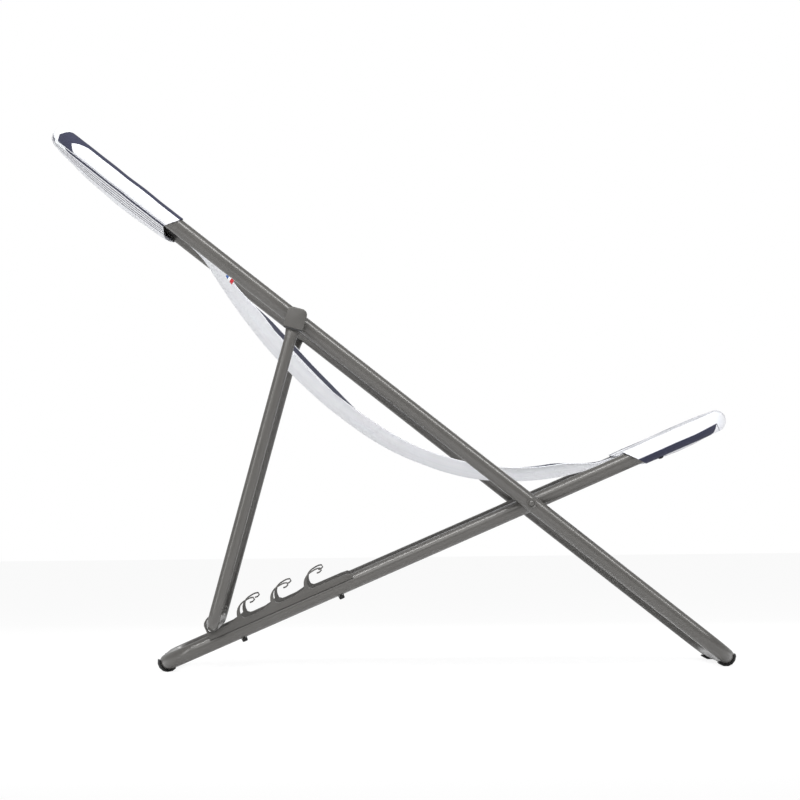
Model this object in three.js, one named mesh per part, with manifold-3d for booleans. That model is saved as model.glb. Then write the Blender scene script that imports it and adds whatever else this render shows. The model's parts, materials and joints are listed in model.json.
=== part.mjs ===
// A folding sling lounger: two closed tube frames crossed like an X, a prop that drops into one of
// four notches, and a cloth sling that hangs between the head hoop and the front hoop.
// Millimetres, +Z up, +X towards the foot end, origin on the ground under the middle of the chair.
import * as THREE from "three";
import { mergeVertices } from "three/addons/utils/BufferGeometryUtils.js";
import Module from "manifold-3d";

const wasm = await Module();
wasm.setup();

// ---- driving dimensions -------------------------------------------------------------------------

// Frame tubes
const tubeRadius = 12.5;
const tubeWall = 1.2;
const propRadius = 9.5;
const propWall = 1;
const jointGap = 0.3; // between two pieces that touch
const runningGap = 0.6; // round a pin in its hole, on the radius

// Back frame: the long one, from the head hoop down to the front foot
const backTubeSpacing = 571; // between the centre lines of its two sides
const backAngle = 38.66; // degrees from the ground
const pivotToFoot = 393;
const pivotToHead = 956.5;
const pivotToProp = 470.5;
const headBendRadius = 60;
const footBendRadius = 55;

// Seat frame: the short one, from the front hoop down to the rear foot
const pivotGap = 2; // between the two frames' tubes at the pivots
const pivotToRear = 627;
const pivotToFront = 335;
const frontBendRadius = 55;

// The crowns of both fabric hoops are gently arched
const crownRadius = 700;
const crownSlope = 0.08;

// Prop
const propLength = 500;
const propWasherThickness = 3;
const capLegGap = 1.025; // between a leg's flattened end and its cap's floor
const propBendRadius = 28;
const flareLength = 34;
const flareWiden = 1.27;
const flareFlatten = 0.45;
const propEndOverhang = 9;

// Notch racks
const notchPitch = 57.5;
const notchCount = 4;
const rackWall = 2.6; // under a notch's floor, over the tube
const rackWidth = 28;
const rackSkirt = 5; // height of the skirt's lower edge over the tube's centre line
const rackBehind = 13;
const rackAhead = 60;
const fingerHalf = 1.3;
const rearScrewAhead = 37.4;
const frontScrewAhead = 31.5;
const bossRadius = 3.7;
const screwRadius = 2;
const screwHeadRadius = 4.6;
const screwHeadHeight = 6;

// Pivots
const mainPinRadius = 4;
const mainHeadRadius = 8;
const propPinRadius = 3.2;
const mainHeadHeight = 4.2;
const propHeadRadius = 6;
const propHeadHeight = 2.4;
const washerRadius = 9;
const capLong = 33;
const capWide = 32;
const capDepth = 19.8;
const capCorner = 9;
const capFloor = 4.6;
const capShell = 2.2;

// Rubber foot pads
const padThickness = 3.6;
const padClearance = 0.7; // the rubber's bore is a little wider than the bent tube
const standHeight = 3; // the tube's underside over the ground
const padLead = 34; // length of straight crossbar that a pad covers
const padBendSteps = 1; // of the six steps in the foot's bend
const padLip = -3; // where a pad's edges lie, measured up from the tube's centre line
const padTilt = 26; // degrees that the pads are turned outwards, away from the middle of the chair

// Sleeves inside the butt joints that the pockets hide
const sleeveLength = 44;
const headJoint = 770;
const frontJoint = 204;

// Fabric
const fabric = 1.4;
const pocketClearance = 1.2;
const headPocketMouth = 718;
const frontPocketMouth = 179;
const frontMouthSlant = 25; // along the tube, from the pocket's top to its underside
const slingWidth = 480;
const slingTop = 640;
const slingTopDrop = 17;
const slingFront = 168;
const slingFrontLift = 5;
const slingTopHandle = 300;
const slingFrontHandle = 300;
const slingTopAngle = 58;
const tagSize = 14;
const tagAlong = 0.055;
const studRadius = 4.5;

// ---- sizes that follow --------------------------------------------------------------------------

const radians = Math.PI / 180;
const seatTubeSpacing = backTubeSpacing - 4 * tubeRadius - 2 * pivotGap;
// The prop's legs stand this far outside the back frame's sides.
const propOffset =
  tubeRadius + 2 * jointGap + propWasherThickness + capFloor + propRadius * flareFlatten + capLegGap;
const rackFloor = tubeRadius + rackWall; // height of a notch's floor over the tube's centre line
const backLean = backAngle * radians;
const pivotRise = pivotToFoot * Math.sin(backLean);
const seatLean = Math.asin(pivotRise / pivotToRear);
const pivotHeight = pivotRise + tubeRadius + standHeight;
const backY = backTubeSpacing / 2;
const seatY = seatTubeSpacing / 2;
const propY = backY + propOffset;
const bore = tubeRadius - tubeWall;
const outerFace = backY + tubeRadius;
const innerFace = seatY - tubeRadius;

// The prop's foot rests on the notch floor nearest the rear, at the prop's own length from its pivot
const between = backLean + seatLean;
const propPivotAlong = -pivotToProp * Math.cos(between);
const propPivotUp = pivotToProp * Math.sin(between);
const barHeight = rackFloor + propRadius + jointGap;
const notchAlong = propPivotAlong - Math.sqrt(propLength ** 2 - (propPivotUp - barHeight) ** 2);
const propLean = Math.atan2(propPivotUp - barHeight, propPivotAlong - notchAlong) + seatLean;

// ---- materials ----------------------------------------------------------------------------------

const paint = new THREE.MeshStandardMaterial({ color: 0x6f6c68, roughness: 0.42, metalness: 0.35 });
const plastic = new THREE.MeshStandardMaterial({ color: 0x5b5a58, roughness: 0.5, metalness: 0 });
const steel = new THREE.MeshStandardMaterial({ color: 0x8b8987, roughness: 0.35, metalness: 0.9 });
const blackSteel = new THREE.MeshStandardMaterial({ color: 0x161616, roughness: 0.45, metalness: 0.5 });
const rubber = new THREE.MeshStandardMaterial({ color: 0x1b1b1c, roughness: 0.8, metalness: 0 });
const canvas = new THREE.MeshStandardMaterial({ color: 0xf1f2f5, roughness: 0.9, metalness: 0 });
const ribbon = new THREE.MeshStandardMaterial({ color: 0x35507e, roughness: 0.8, metalness: 0 });

// ---- ways of making -----------------------------------------------------------------------------

function solidOf(geometry) {
  const plain = geometry.clone();
  plain.deleteAttribute("normal");
  plain.deleteAttribute("uv");
  const merged = mergeVertices(plain, 1e-3);
  const mesh = new wasm.Mesh({
    numProp: 3,
    vertProperties: merged.attributes.position.array,
    triVerts: new Uint32Array(merged.index.array),
  });
  return new wasm.Manifold(mesh);
}

function geometryOf(solid) {
  const mesh = solid.getMesh();
  const geometry = new THREE.BufferGeometry();
  geometry.setAttribute("position", new THREE.BufferAttribute(mesh.vertProperties, 3));
  geometry.setIndex(new THREE.BufferAttribute(mesh.triVerts, 1));
  geometry.computeVertexNormals();
  return geometry;
}

// Cuts each of the tools away from a geometry.
function cut(geometry, ...tools) {
  return geometryOf(tools.reduce((left, tool) => left.subtract(solidOf(tool)), solidOf(geometry)));
}

function piece(group, name, geometry, material) {
  const mesh = new THREE.Mesh(geometry, material);
  mesh.name = name;
  group.add(mesh);
}

// A straight round bar along Y, from one height to another, through (x, z).
function crossRod(radius, fromY, toY, x = 0, z = 0, sides = 12) {
  const rod = new THREE.CylinderGeometry(radius, radius, Math.abs(toY - fromY), sides);
  return rod.translate(x, (fromY + toY) / 2, z);
}

// A straight round bar along Z through (x, y).
function uprightRod(radius, fromZ, toZ, x, y, sides = 12) {
  const rod = new THREE.CylinderGeometry(radius, radius, Math.abs(toZ - fromZ), sides);
  return rod.rotateX(Math.PI / 2).translate(x, y, (fromZ + toZ) / 2);
}

// A straight round bar along X through (y, z).
function lengthRod(radius, fromX, toX, y, z = 0, sides = 16) {
  const rod = new THREE.CylinderGeometry(radius, radius, Math.abs(toX - fromX), sides);
  return rod.rotateZ(Math.PI / 2).translate((fromX + toX) / 2, y, z);
}

function block(x0, x1, y0, y1, z0, z1) {
  const box = new THREE.BoxGeometry(x1 - x0, Math.abs(y1 - y0), z1 - z0);
  return box.translate((x0 + x1) / 2, (y0 + y1) / 2, (z0 + z1) / 2);
}

// Pulls a shape drawn in X and Z out along Y, from one side face to the other.
function acrossShape(shape, fromY, toY, bevel = 0) {
  const low = Math.min(fromY, toY);
  const high = Math.max(fromY, toY);
  const solid = new THREE.ExtrudeGeometry(shape, {
    depth: high - low - 2 * bevel,
    bevelEnabled: bevel > 0,
    bevelSize: bevel,
    bevelThickness: bevel,
    bevelOffset: -bevel,
    bevelSegments: 2,
    curveSegments: 4,
  });
  return solid.rotateX(Math.PI / 2).translate(0, high - bevel, 0);
}

// A turned piece about the Y axis, its profile given from the bottom up as [radius, height].
function turned(profile, sides = 14) {
  return new THREE.LatheGeometry(profile.map(([r, y]) => new THREE.Vector2(r, y)), sides);
}

// A piece made for the left side, at +Y, turned over for the right side.
function onSide(geometry, side) {
  return side > 0 ? geometry : geometry.rotateX(Math.PI);
}

// A bent tube's centre line: straight runs with a round bend at each inner corner, sampled only
// where it turns.
class BentRoute extends THREE.Curve {
  constructor(corners, radii, bendSteps = 6) {
    super();
    this.stations = [];
    const last = corners.length - 1;
    const direction = corners.slice(1).map((corner, i) => corner.clone().sub(corners[i]).normalize());
    this.stations.push({ point: corners[0], tangent: direction[0] });
    for (let i = 1; i < last; i += 1) {
      const before = direction[i - 1];
      const after = direction[i];
      const turn = before.angleTo(after);
      if (turn < 1e-6) {
        this.stations.push({ point: corners[i], tangent: before });
        continue;
      }
      const radius = radii[i - 1];
      const reach = radius * Math.tan(turn / 2);
      const axis = before.clone().cross(after).normalize();
      const start = corners[i].clone().addScaledVector(before, -reach);
      const inward = axis.clone().cross(before);
      const centre = start.clone().addScaledVector(inward, radius);
      for (let k = 0; k <= bendSteps; k += 1) {
        const swing = (turn * k) / bendSteps;
        const arm = inward.clone().multiplyScalar(-radius).applyAxisAngle(axis, swing);
        this.stations.push({
          point: centre.clone().add(arm),
          tangent: before.clone().applyAxisAngle(axis, swing),
        });
      }
    }
    this.stations.push({ point: corners[last], tangent: direction[last - 1] });
  }

  getPointAt(share) {
    return this.stations[Math.round(share * (this.stations.length - 1))].point.clone();
  }

  getTangentAt(share) {
    return this.stations[Math.round(share * (this.stations.length - 1))].tangent.clone();
  }
}

function circle(radius, sides) {
  const points = [];
  for (let i = 0; i < sides; i += 1) {
    const turn = (2 * Math.PI * i) / sides;
    points.push(new THREE.Vector2(radius * Math.cos(turn), radius * Math.sin(turn)));
  }
  return points;
}

function tubeAlong(route, outside, inside = 0, sides = 14) {
  const section = new THREE.Shape(circle(outside, sides));
  if (inside > 0) section.holes.push(new THREE.Path(circle(inside, sides).reverse()));
  return new THREE.ExtrudeGeometry(section, {
    steps: route.stations.length - 1,
    extrudePath: route,
    bevelEnabled: false,
  });
}

// The corners of a U that opens at one end of a frame and closes at the other.
function hoopCorners(openX, endX, halfWidth) {
  return [
    new THREE.Vector3(openX, halfWidth, 0),
    new THREE.Vector3(endX, halfWidth, 0),
    new THREE.Vector3(endX, -halfWidth, 0),
    new THREE.Vector3(openX, -halfWidth, 0),
  ];
}

// The route of a hoop whose crown is arched: apexX is the centre line's furthest point.
function archedHoop(openX, apexX, halfWidth, bendRadius) {
  const outward = Math.sign(apexX - openX);
  const crownX = apexX + outward * crownRadius * (Math.hypot(1, crownSlope) - 1);
  const shoulderX = crownX - outward * crownSlope * halfWidth;
  const corners = [
    new THREE.Vector3(openX, halfWidth, 0),
    new THREE.Vector3(shoulderX, halfWidth, 0),
    new THREE.Vector3(crownX, 0, 0),
    new THREE.Vector3(shoulderX, -halfWidth, 0),
    new THREE.Vector3(openX, -halfWidth, 0),
  ];
  return new BentRoute(corners, [bendRadius, crownRadius, bendRadius]);
}

// A fabric bag round a hoop, open where mouth cuts it off.
function pocketRound(route, mouth) {
  const outline = new THREE.Shape(route.stations.map(({ point }) => new THREE.Vector2(point.x, point.y)));
  const shell = (reach) => {
    const bag = new THREE.ExtrudeGeometry(outline, {
      depth: 1,
      bevelEnabled: true,
      bevelSize: reach,
      bevelThickness: reach - 0.5,
      bevelSegments: 3,
    });
    return bag.translate(0, 0, -0.5);
  };
  const inside = tubeRadius + pocketClearance;
  return cut(shell(inside + fabric), shell(inside), mouth);
}

// ---- groups -------------------------------------------------------------------------------------

const lounger = new THREE.Group();
const backFrame = new THREE.Group();
const seatFrame = new THREE.Group();
const prop = new THREE.Group();
const sling = new THREE.Group();
lounger.add(backFrame, seatFrame, sling);
backFrame.add(prop);
backFrame.rotation.y = backLean;
seatFrame.rotation.y = -seatLean;
prop.position.x = -pivotToProp;
prop.rotation.y = Math.PI - propLean - backLean;

const sides = [
  ["left", 1],
  ["right", -1],
];

// ---- back frame: X runs down the frame to the front foot, Z out of its upper face ---------------

function backFootHoop() {
  const route = new BentRoute(hoopCorners(-headJoint, pivotToFoot, backY), [footBendRadius, footBendRadius]);
  const holes = sides.flatMap(([, side]) => [
    crossRod(mainPinRadius + runningGap, side * (backY - 20), side * (backY + 20)),
    crossRod(propPinRadius + runningGap, side * (backY - 20), side * (backY + 20), -pivotToProp),
  ]);
  return cut(tubeAlong(route, tubeRadius, bore), ...holes);
}

const headRoute = archedHoop(-headJoint - jointGap, -pivotToHead, backY, headBendRadius);
piece(backFrame, "back_foot_hoop", backFootHoop(), paint);
piece(backFrame, "back_head_hoop", tubeAlong(headRoute, tubeRadius, bore), paint);

for (const [name, side] of sides) {
  const y = side * backY;
  const half = sleeveLength / 2;
  const sleeve = lengthRod(bore - jointGap, -headJoint - half, -headJoint + half, y);
  piece(backFrame, `back_sleeve_${name}`, sleeve, steel);
}

const headMouth = block(-headPocketMouth, 0, -outerFace - 40, outerFace + 40, -60, 60);
const headBag = archedHoop(-headPocketMouth + 60, -pivotToHead, backY, headBendRadius);
piece(backFrame, "head_pocket", pocketRound(headBag, headMouth), canvas);

// ---- seat frame: X runs up the frame to the front hoop ------------------------------------------

const rackScrews = [notchAlong + rearScrewAhead, notchAlong + (notchCount - 1) * notchPitch + frontScrewAhead];

function seatRearHoop() {
  const route = new BentRoute(hoopCorners(frontJoint, -pivotToRear, seatY), [footBendRadius, footBendRadius]);
  const holes = sides.flatMap(([, side]) => [
    crossRod(mainPinRadius + runningGap, side * (seatY - 20), side * (seatY + 20)),
    ...rackScrews.flatMap((x) => [
      uprightRod(bossRadius + jointGap, 0, tubeRadius + 3, x, side * seatY),
      uprightRod(screwRadius + jointGap, -tubeRadius - 3, 0, x, side * seatY),
    ]),
  ]);
  return cut(tubeAlong(route, tubeRadius, bore), ...holes);
}

const frontRoute = archedHoop(frontJoint + jointGap, pivotToFront, seatY, frontBendRadius);
piece(seatFrame, "seat_rear_hoop", seatRearHoop(), paint);
piece(seatFrame, "seat_front_hoop", tubeAlong(frontRoute, tubeRadius, bore), paint);

for (const [name, side] of sides) {
  const y = side * seatY;
  const half = sleeveLength / 2;
  const sleeve = lengthRod(bore - jointGap, frontJoint - half, frontJoint + half, y);
  piece(seatFrame, `seat_sleeve_${name}`, sleeve, steel);
}

const frontReach = outerFace + 40;
const frontMouth = block(-80, 0, -frontReach, frontReach, -60, 60)
  .rotateY(Math.atan2(frontMouthSlant, 2 * tubeRadius))
  .translate(frontPocketMouth, 0, 0);
const frontBag = archedHoop(frontPocketMouth - 40, pivotToFront, seatY, frontBendRadius);
piece(seatFrame, "front_pocket", pocketRound(frontBag, frontMouth), canvas);

// ---- notch racks: moulded saddles screwed down on the seat frame's sides ------------------------

// One springy finger as [ahead of the bar's centre, over the notch floor], from its root to its tip.
const fingerLine = [
  [-13.6, 5],
  [-12.6, 12],
  [-8.4, 19.2],
  [-2, 23.6],
  [6, 25.4],
  [13, 25.9],
  [18.6, 24.6],
  [19.2, 21.2],
  [15.5, 19.2],
  [10.5, 19.4],
];

// The two sides of a finger's centre line, rear side first.
function fingerSides(x, z) {
  const line = new THREE.SplineCurve(fingerLine.map(([a, b]) => new THREE.Vector2(x + a, z + b)));
  const count = 13;
  const rear = [];
  const front = [];
  for (let i = 0; i <= count; i += 1) {
    const at = line.getPointAt(i / count);
    const along = line.getTangentAt(i / count);
    const half = fingerHalf * (2.7 - 1.85 * Math.min(1, (3 * i) / count));
    rear.push(new THREE.Vector2(at.x - along.y * half, at.y + along.x * half));
    front.push(new THREE.Vector2(at.x + along.y * half, at.y - along.x * half));
  }
  return [rear, front];
}

function rackShape() {
  const rear = notchAlong - rackBehind;
  const front = notchAlong + (notchCount - 1) * notchPitch + rackAhead;
  const outline = [new THREE.Vector2(rear, rackSkirt)];
  for (let n = 0; n < notchCount; n += 1) {
    const bar = notchAlong + n * notchPitch;
    const [back, face] = fingerSides(bar, rackFloor);
    if (n === 0) for (const point of back) point.x = Math.max(point.x, rear);
    outline.push(...back, ...face.reverse());
    outline.push(new THREE.Vector2(bar - 9.8, rackFloor + 3.6));
    outline.push(new THREE.Vector2(bar - 6, rackFloor + 0.6));
    outline.push(new THREE.Vector2(bar - 1, rackFloor));
    if (n < notchCount - 1) {
      outline.push(new THREE.Vector2(bar + 20, rackFloor + 0.4));
      outline.push(new THREE.Vector2(bar + 31, rackFloor + 2.4));
      outline.push(new THREE.Vector2(bar + 39, rackFloor + 4.9));
    }
  }
  outline.push(new THREE.Vector2(front - 17, rackFloor - 0.2));
  outline.push(new THREE.Vector2(front - 6, rackFloor - 1));
  outline.push(new THREE.Vector2(front, rackFloor - 5.4));
  outline.push(new THREE.Vector2(front, rackSkirt));
  return new THREE.Shape(outline);
}

function notchRack(side) {
  const y = side * seatY;
  const body = solidOf(acrossShape(rackShape(), y - rackWidth / 2, y + rackWidth / 2));
  const span = [notchAlong - 100, notchAlong + notchCount * notchPitch + 100];
  let rack = body.subtract(solidOf(lengthRod(tubeRadius + jointGap, ...span, y)));
  for (const x of rackScrews) {
    rack = rack.add(solidOf(uprightRod(bossRadius, 1, rackFloor - 1, x, y)));
  }
  for (const x of rackScrews) {
    rack = rack.subtract(solidOf(uprightRod(screwRadius + jointGap, 0, rackFloor - 2, x, y)));
  }
  return geometryOf(rack);
}

function rackScrew(x, y) {
  const under = -tubeRadius - jointGap;
  const profile = [
    [0, under - screwHeadHeight],
    [screwHeadRadius - 1.2, under - screwHeadHeight],
    [screwHeadRadius, under - screwHeadHeight + 1.4],
    [screwHeadRadius, under - 1.5],
    [screwHeadRadius + 0.8, under],
    [screwRadius, under],
    [screwRadius, rackFloor - 3.4],
    [0, rackFloor - 2.4],
  ];
  return turned(profile).rotateX(Math.PI / 2).translate(x, y, 0);
}

for (const [name, side] of sides) {
  piece(seatFrame, `notch_rack_${name}`, notchRack(side), plastic);
  ["rear", "front"].forEach((end, i) => {
    piece(seatFrame, `rack_screw_${end}_${name}`, rackScrew(rackScrews[i], side * seatY), blackSteel);
  });
}

// ---- main pivots: a domed rivet through both tubes, with a spacer between them ------------------

// A rivet along Y for the left side: a domed head outside, a flat one inside.
function rivet(radius, headRadius, headHeight, insideY, outsideY, insideRadius) {
  const dome = [0.35, 0.65, 0.88].map((share) => [
    headRadius * Math.cos((share * Math.PI) / 2),
    outsideY + 1 + (headHeight - 1) * Math.sin((share * Math.PI) / 2),
  ]);
  return turned([
    [0, insideY - 2],
    [insideRadius - 0.6, insideY - 2],
    [insideRadius, insideY - 1.4],
    [insideRadius, insideY],
    [radius, insideY],
    [radius, outsideY],
    [headRadius, outsideY],
    [headRadius, outsideY + 1],
    ...dome,
    [0, outsideY + headHeight],
  ]);
}

function ring(outer, inner, fromY, toY) {
  return turned([
    [inner, fromY],
    [outer, fromY],
    [outer, toY],
    [inner, toY],
    [inner, fromY],
  ]);
}

for (const [name, side] of sides) {
  const inner = innerFace - jointGap;
  const plateY = inner - 1.2;
  const outside = outerFace + jointGap;
  const pin = rivet(mainPinRadius, mainHeadRadius, mainHeadHeight, plateY - jointGap, outside, 7);
  const hole = mainPinRadius + runningGap;
  const washer = ring(washerRadius, hole, plateY, inner);
  const spacer = ring(washerRadius, hole, seatY + tubeRadius + jointGap, backY - tubeRadius - jointGap);
  piece(lounger, `main_pivot_rivet_${name}`, onSide(pin, side), steel);
  piece(lounger, `main_pivot_washer_${name}`, onSide(washer, side), steel);
  piece(lounger, `main_pivot_spacer_${name}`, onSide(spacer, side), plastic);
}

// ---- prop: X runs down its legs, its origin is on its pivot -------------------------------------

const capInner = outerFace + jointGap + propWasherThickness + jointGap;
const legEnd = propRadius * flareFlatten;

// The legs' top ends are pressed flat and widen where they enter their caps.
function propHoop() {
  const rows = [12, 17, 22, 27, flareLength + 2];
  const leg = (side) => rows.map((x) => new THREE.Vector3(x, side * propY, 0));
  const [topLeft, footLeft, footRight, topRight] = hoopCorners(-propEndOverhang, propLength, propY);
  const corners = [topLeft, ...leg(1), footLeft, footRight, ...leg(-1).reverse(), topRight];
  const plain = rows.map(() => 0);
  const route = new BentRoute(corners, [...plain, propBendRadius, propBendRadius, ...plain]);
  const hoop = tubeAlong(route, propRadius, propRadius - propWall);
  const position = hoop.attributes.position;
  for (let i = 0; i < position.count; i += 1) {
    const x = position.getX(i);
    const side = Math.sign(position.getY(i));
    const press = 1 - THREE.MathUtils.smoothstep(x, 12, flareLength);
    const out = position.getY(i) - side * propY;
    position.setY(i, side * propY + out * THREE.MathUtils.lerp(1, flareFlatten, press));
    position.setZ(i, position.getZ(i) * THREE.MathUtils.lerp(1, flareWiden, press));
  }
  const hole = propPinRadius + runningGap;
  return cut(hoop, ...sides.map(([, side]) => crossRod(hole, side * (propY - 8), side * (propY + 8))));
}

function propCap() {
  const half = capLong / 2;
  const wide = capWide / 2;
  const outline = new THREE.Shape();
  outline.moveTo(half, -wide);
  outline.lineTo(half, wide);
  outline.lineTo(-half + capCorner, wide);
  outline.absarc(-half + capCorner, wide - capCorner, capCorner, Math.PI / 2, Math.PI, false);
  outline.absarc(-half + capCorner, -wide + capCorner, capCorner, Math.PI, 1.5 * Math.PI, false);
  outline.lineTo(half, -wide);
  const shell = acrossShape(outline, capInner, capInner + capDepth, 2.4);
  const legWidth = propRadius * flareWiden + 0.7;
  const cavity = block(
    -propEndOverhang - 1,
    half + 5,
    capInner + capFloor,
    capInner + capDepth - capShell,
    -legWidth,
    legWidth,
  );
  return cut(shell, cavity, crossRod(propPinRadius + runningGap, capInner - 2, capInner + capFloor + 2));
}

piece(prop, "prop_hoop", propHoop(), paint);
for (const [name, side] of sides) {
  const hole = propPinRadius + runningGap;
  const washer = ring(washerRadius, hole, outerFace + jointGap, capInner - jointGap);
  const inside = backY - tubeRadius - jointGap;
  const outside = propY + legEnd + jointGap;
  const pin = rivet(propPinRadius, propHeadRadius, propHeadHeight, inside, outside, 5.5);
  piece(prop, `prop_cap_${name}`, onSide(propCap(), side), plastic);
  piece(prop, `prop_pivot_washer_${name}`, onSide(washer, side), plastic);
  piece(prop, `prop_pivot_rivet_${name}`, onSide(pin, side), steel);
}

// ---- foot pads: rubber half shells under the ends of both feet ---------------------------------

// A pad covers the end of the foot's crossbar and the very start of the bend.
function footPad(frame, endX, halfWidth, side) {
  const bend = (lead) => {
    const corners = [
      new THREE.Vector3(endX, side * (halfWidth - footBendRadius - lead), 0),
      new THREE.Vector3(endX, side * halfWidth, 0),
      new THREE.Vector3(0, side * halfWidth, 0),
    ];
    return new BentRoute(corners, [footBendRadius]);
  };
  const cover = bend(padLead);
  cover.stations = cover.stations.slice(0, 2 + padBendSteps);
  frame.updateMatrixWorld(true);
  const place = (geometry) => geometry.applyMatrix4(frame.matrixWorld);
  const outside = place(tubeAlong(cover, tubeRadius + padThickness));
  const inside = place(tubeAlong(bend(padLead + 5), tubeRadius + padClearance));
  const far = 2000;
  const foot = new THREE.Vector3(endX, 0, 0).applyMatrix4(frame.matrixWorld);
  const above = block(-far, far, -far, far, padLip, far);
  above.rotateY(-Math.sign(endX) * padTilt * radians).translate(foot.x, 0, foot.z);
  const below = block(-far, far, -far, far, -far, -pivotHeight);
  return cut(outside, inside, above, below);
}

for (const [name, side] of sides) {
  piece(lounger, `foot_pad_front_${name}`, footPad(backFrame, pivotToFoot, backY, side), rubber);
  piece(lounger, `foot_pad_rear_${name}`, footPad(seatFrame, -pivotToRear, seatY, side), rubber);
}

// ---- sling: one cloth that hangs from the head pocket to the front pocket -----------------------

// A place in a frame's own plane, as a point of the chair's side view.
function inBack(along, up) {
  const x = along * Math.cos(backLean) + up * Math.sin(backLean);
  return new THREE.Vector2(x, -along * Math.sin(backLean) + up * Math.cos(backLean));
}

function inSeat(along, up) {
  const x = along * Math.cos(seatLean) - up * Math.sin(seatLean);
  return new THREE.Vector2(x, along * Math.sin(seatLean) + up * Math.cos(seatLean));
}

const slingStart = inBack(-slingTop, -slingTopDrop);
const slingEnd = inSeat(slingFront, slingFrontLift);
const topAngle = slingTopAngle * radians;
const topHandle = new THREE.Vector2(Math.cos(topAngle), -Math.sin(topAngle)).multiplyScalar(slingTopHandle);
const frontHandle = inSeat(-slingFrontHandle, 0);
const slingCurve = new THREE.CubicBezierCurve(
  slingStart,
  slingStart.clone().add(topHandle),
  slingEnd.clone().add(frontHandle),
  slingEnd,
);

function slingShape() {
  const count = 20;
  const over = [];
  const under = [];
  for (let i = 0; i <= count; i += 1) {
    const at = slingCurve.getPointAt(i / count);
    const along = slingCurve.getTangentAt(i / count);
    const out = new THREE.Vector2(-along.y, along.x).multiplyScalar(fabric / 2);
    over.push(at.clone().add(out));
    under.push(at.clone().sub(out));
  }
  const mouth = inBack(-headPocketMouth + 1, -tubeRadius - 2);
  const lift = new THREE.Vector2(Math.sin(backLean), Math.cos(backLean)).multiplyScalar(fabric);
  return new THREE.Shape([mouth, ...under, ...over.reverse(), mouth.clone().add(lift)]);
}

function sideTag() {
  const at = slingCurve.getPointAt(tagAlong);
  const y = -slingWidth / 2 - jointGap;
  const tag = block(-tagSize / 2, tagSize / 2, y - 1, y, -tagSize / 2, tagSize / 2);
  return tag.rotateY(topAngle).translate(at.x, 0, at.y);
}

function pocketStud() {
  const under = -tubeRadius - pocketClearance - fabric - jointGap;
  return turned([
    [0, under - 3],
    [studRadius * 0.6, under - 2.6],
    [studRadius, under - 1.4],
    [studRadius, under],
    [0, under],
  ]).rotateX(Math.PI / 2);
}

piece(sling, "sling", acrossShape(slingShape(), -slingWidth / 2, slingWidth / 2), canvas);
piece(sling, "side_tag", sideTag(), ribbon);
for (const [name, side] of sides) {
  const stud = pocketStud().translate(frontPocketMouth + 38, side * seatY, 0);
  piece(seatFrame, `pocket_stud_${name}`, stud, steel);
}

// ---- the chair stands on the ground, over its own middle ----------------------------------------

lounger.position.z = pivotHeight;
const extent = new THREE.Box3().setFromObject(lounger, true);
lounger.position.x = -(extent.min.x + extent.max.x) / 2;

export default lounger;
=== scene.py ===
import json
import math

import bpy
from mathutils import Matrix, Vector, noise


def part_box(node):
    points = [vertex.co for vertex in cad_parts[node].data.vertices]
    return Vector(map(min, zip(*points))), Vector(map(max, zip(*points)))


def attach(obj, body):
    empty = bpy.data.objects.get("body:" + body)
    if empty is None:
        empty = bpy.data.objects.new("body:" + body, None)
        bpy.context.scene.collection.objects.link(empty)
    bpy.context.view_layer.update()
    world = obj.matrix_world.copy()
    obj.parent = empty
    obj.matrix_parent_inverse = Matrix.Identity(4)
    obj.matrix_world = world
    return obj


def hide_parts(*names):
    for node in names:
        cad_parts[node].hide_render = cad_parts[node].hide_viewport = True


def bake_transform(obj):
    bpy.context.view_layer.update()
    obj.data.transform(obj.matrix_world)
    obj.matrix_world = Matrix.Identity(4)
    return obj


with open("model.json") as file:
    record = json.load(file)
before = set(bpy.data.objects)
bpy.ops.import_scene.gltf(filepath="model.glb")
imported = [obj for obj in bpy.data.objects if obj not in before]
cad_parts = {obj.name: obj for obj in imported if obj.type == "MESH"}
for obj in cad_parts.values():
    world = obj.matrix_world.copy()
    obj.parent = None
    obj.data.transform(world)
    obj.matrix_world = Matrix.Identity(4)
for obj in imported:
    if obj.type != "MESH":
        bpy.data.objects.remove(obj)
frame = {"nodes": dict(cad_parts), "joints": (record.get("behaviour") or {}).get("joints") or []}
bpy.ops.object.select_all(action="DESELECT")
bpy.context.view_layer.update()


# ---- Camera ----
# A long lens square to the chair's right side, level with the main pivots and a little behind the
# middle of the chair, so that the far tubes step inwards by only a few per cent.
joint_place = {joint["name"]: Vector(joint["pos_m"]) for joint in frame["joints"]}
main_pivot = joint_place["fold"]
near_side_y = -0.2855    # the centre line of the near side tube
lens_distance = 9.45
lens_roll = math.radians(-0.61)
camera_place = Vector((main_pivot.x - 0.2885, near_side_y - lens_distance, main_pivot.z + 0.0003))
looked_at = Vector((main_pivot.x - 0.2050, near_side_y, main_pivot.z + 0.1644))
bpy.ops.object.camera_add(location=camera_place)
camera = bpy.context.object
turn = (looked_at - camera_place).to_track_quat("-Z", "Y").to_matrix().to_4x4()
camera.matrix_world = Matrix.Translation(camera_place) @ turn @ Matrix.Rotation(lens_roll, 4, "Z")
camera.data.lens = 270.4
camera.data.sensor_width = 36
camera.data.clip_end = 100
camera.data.dof.use_dof = False
bpy.context.scene.camera = camera


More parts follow.
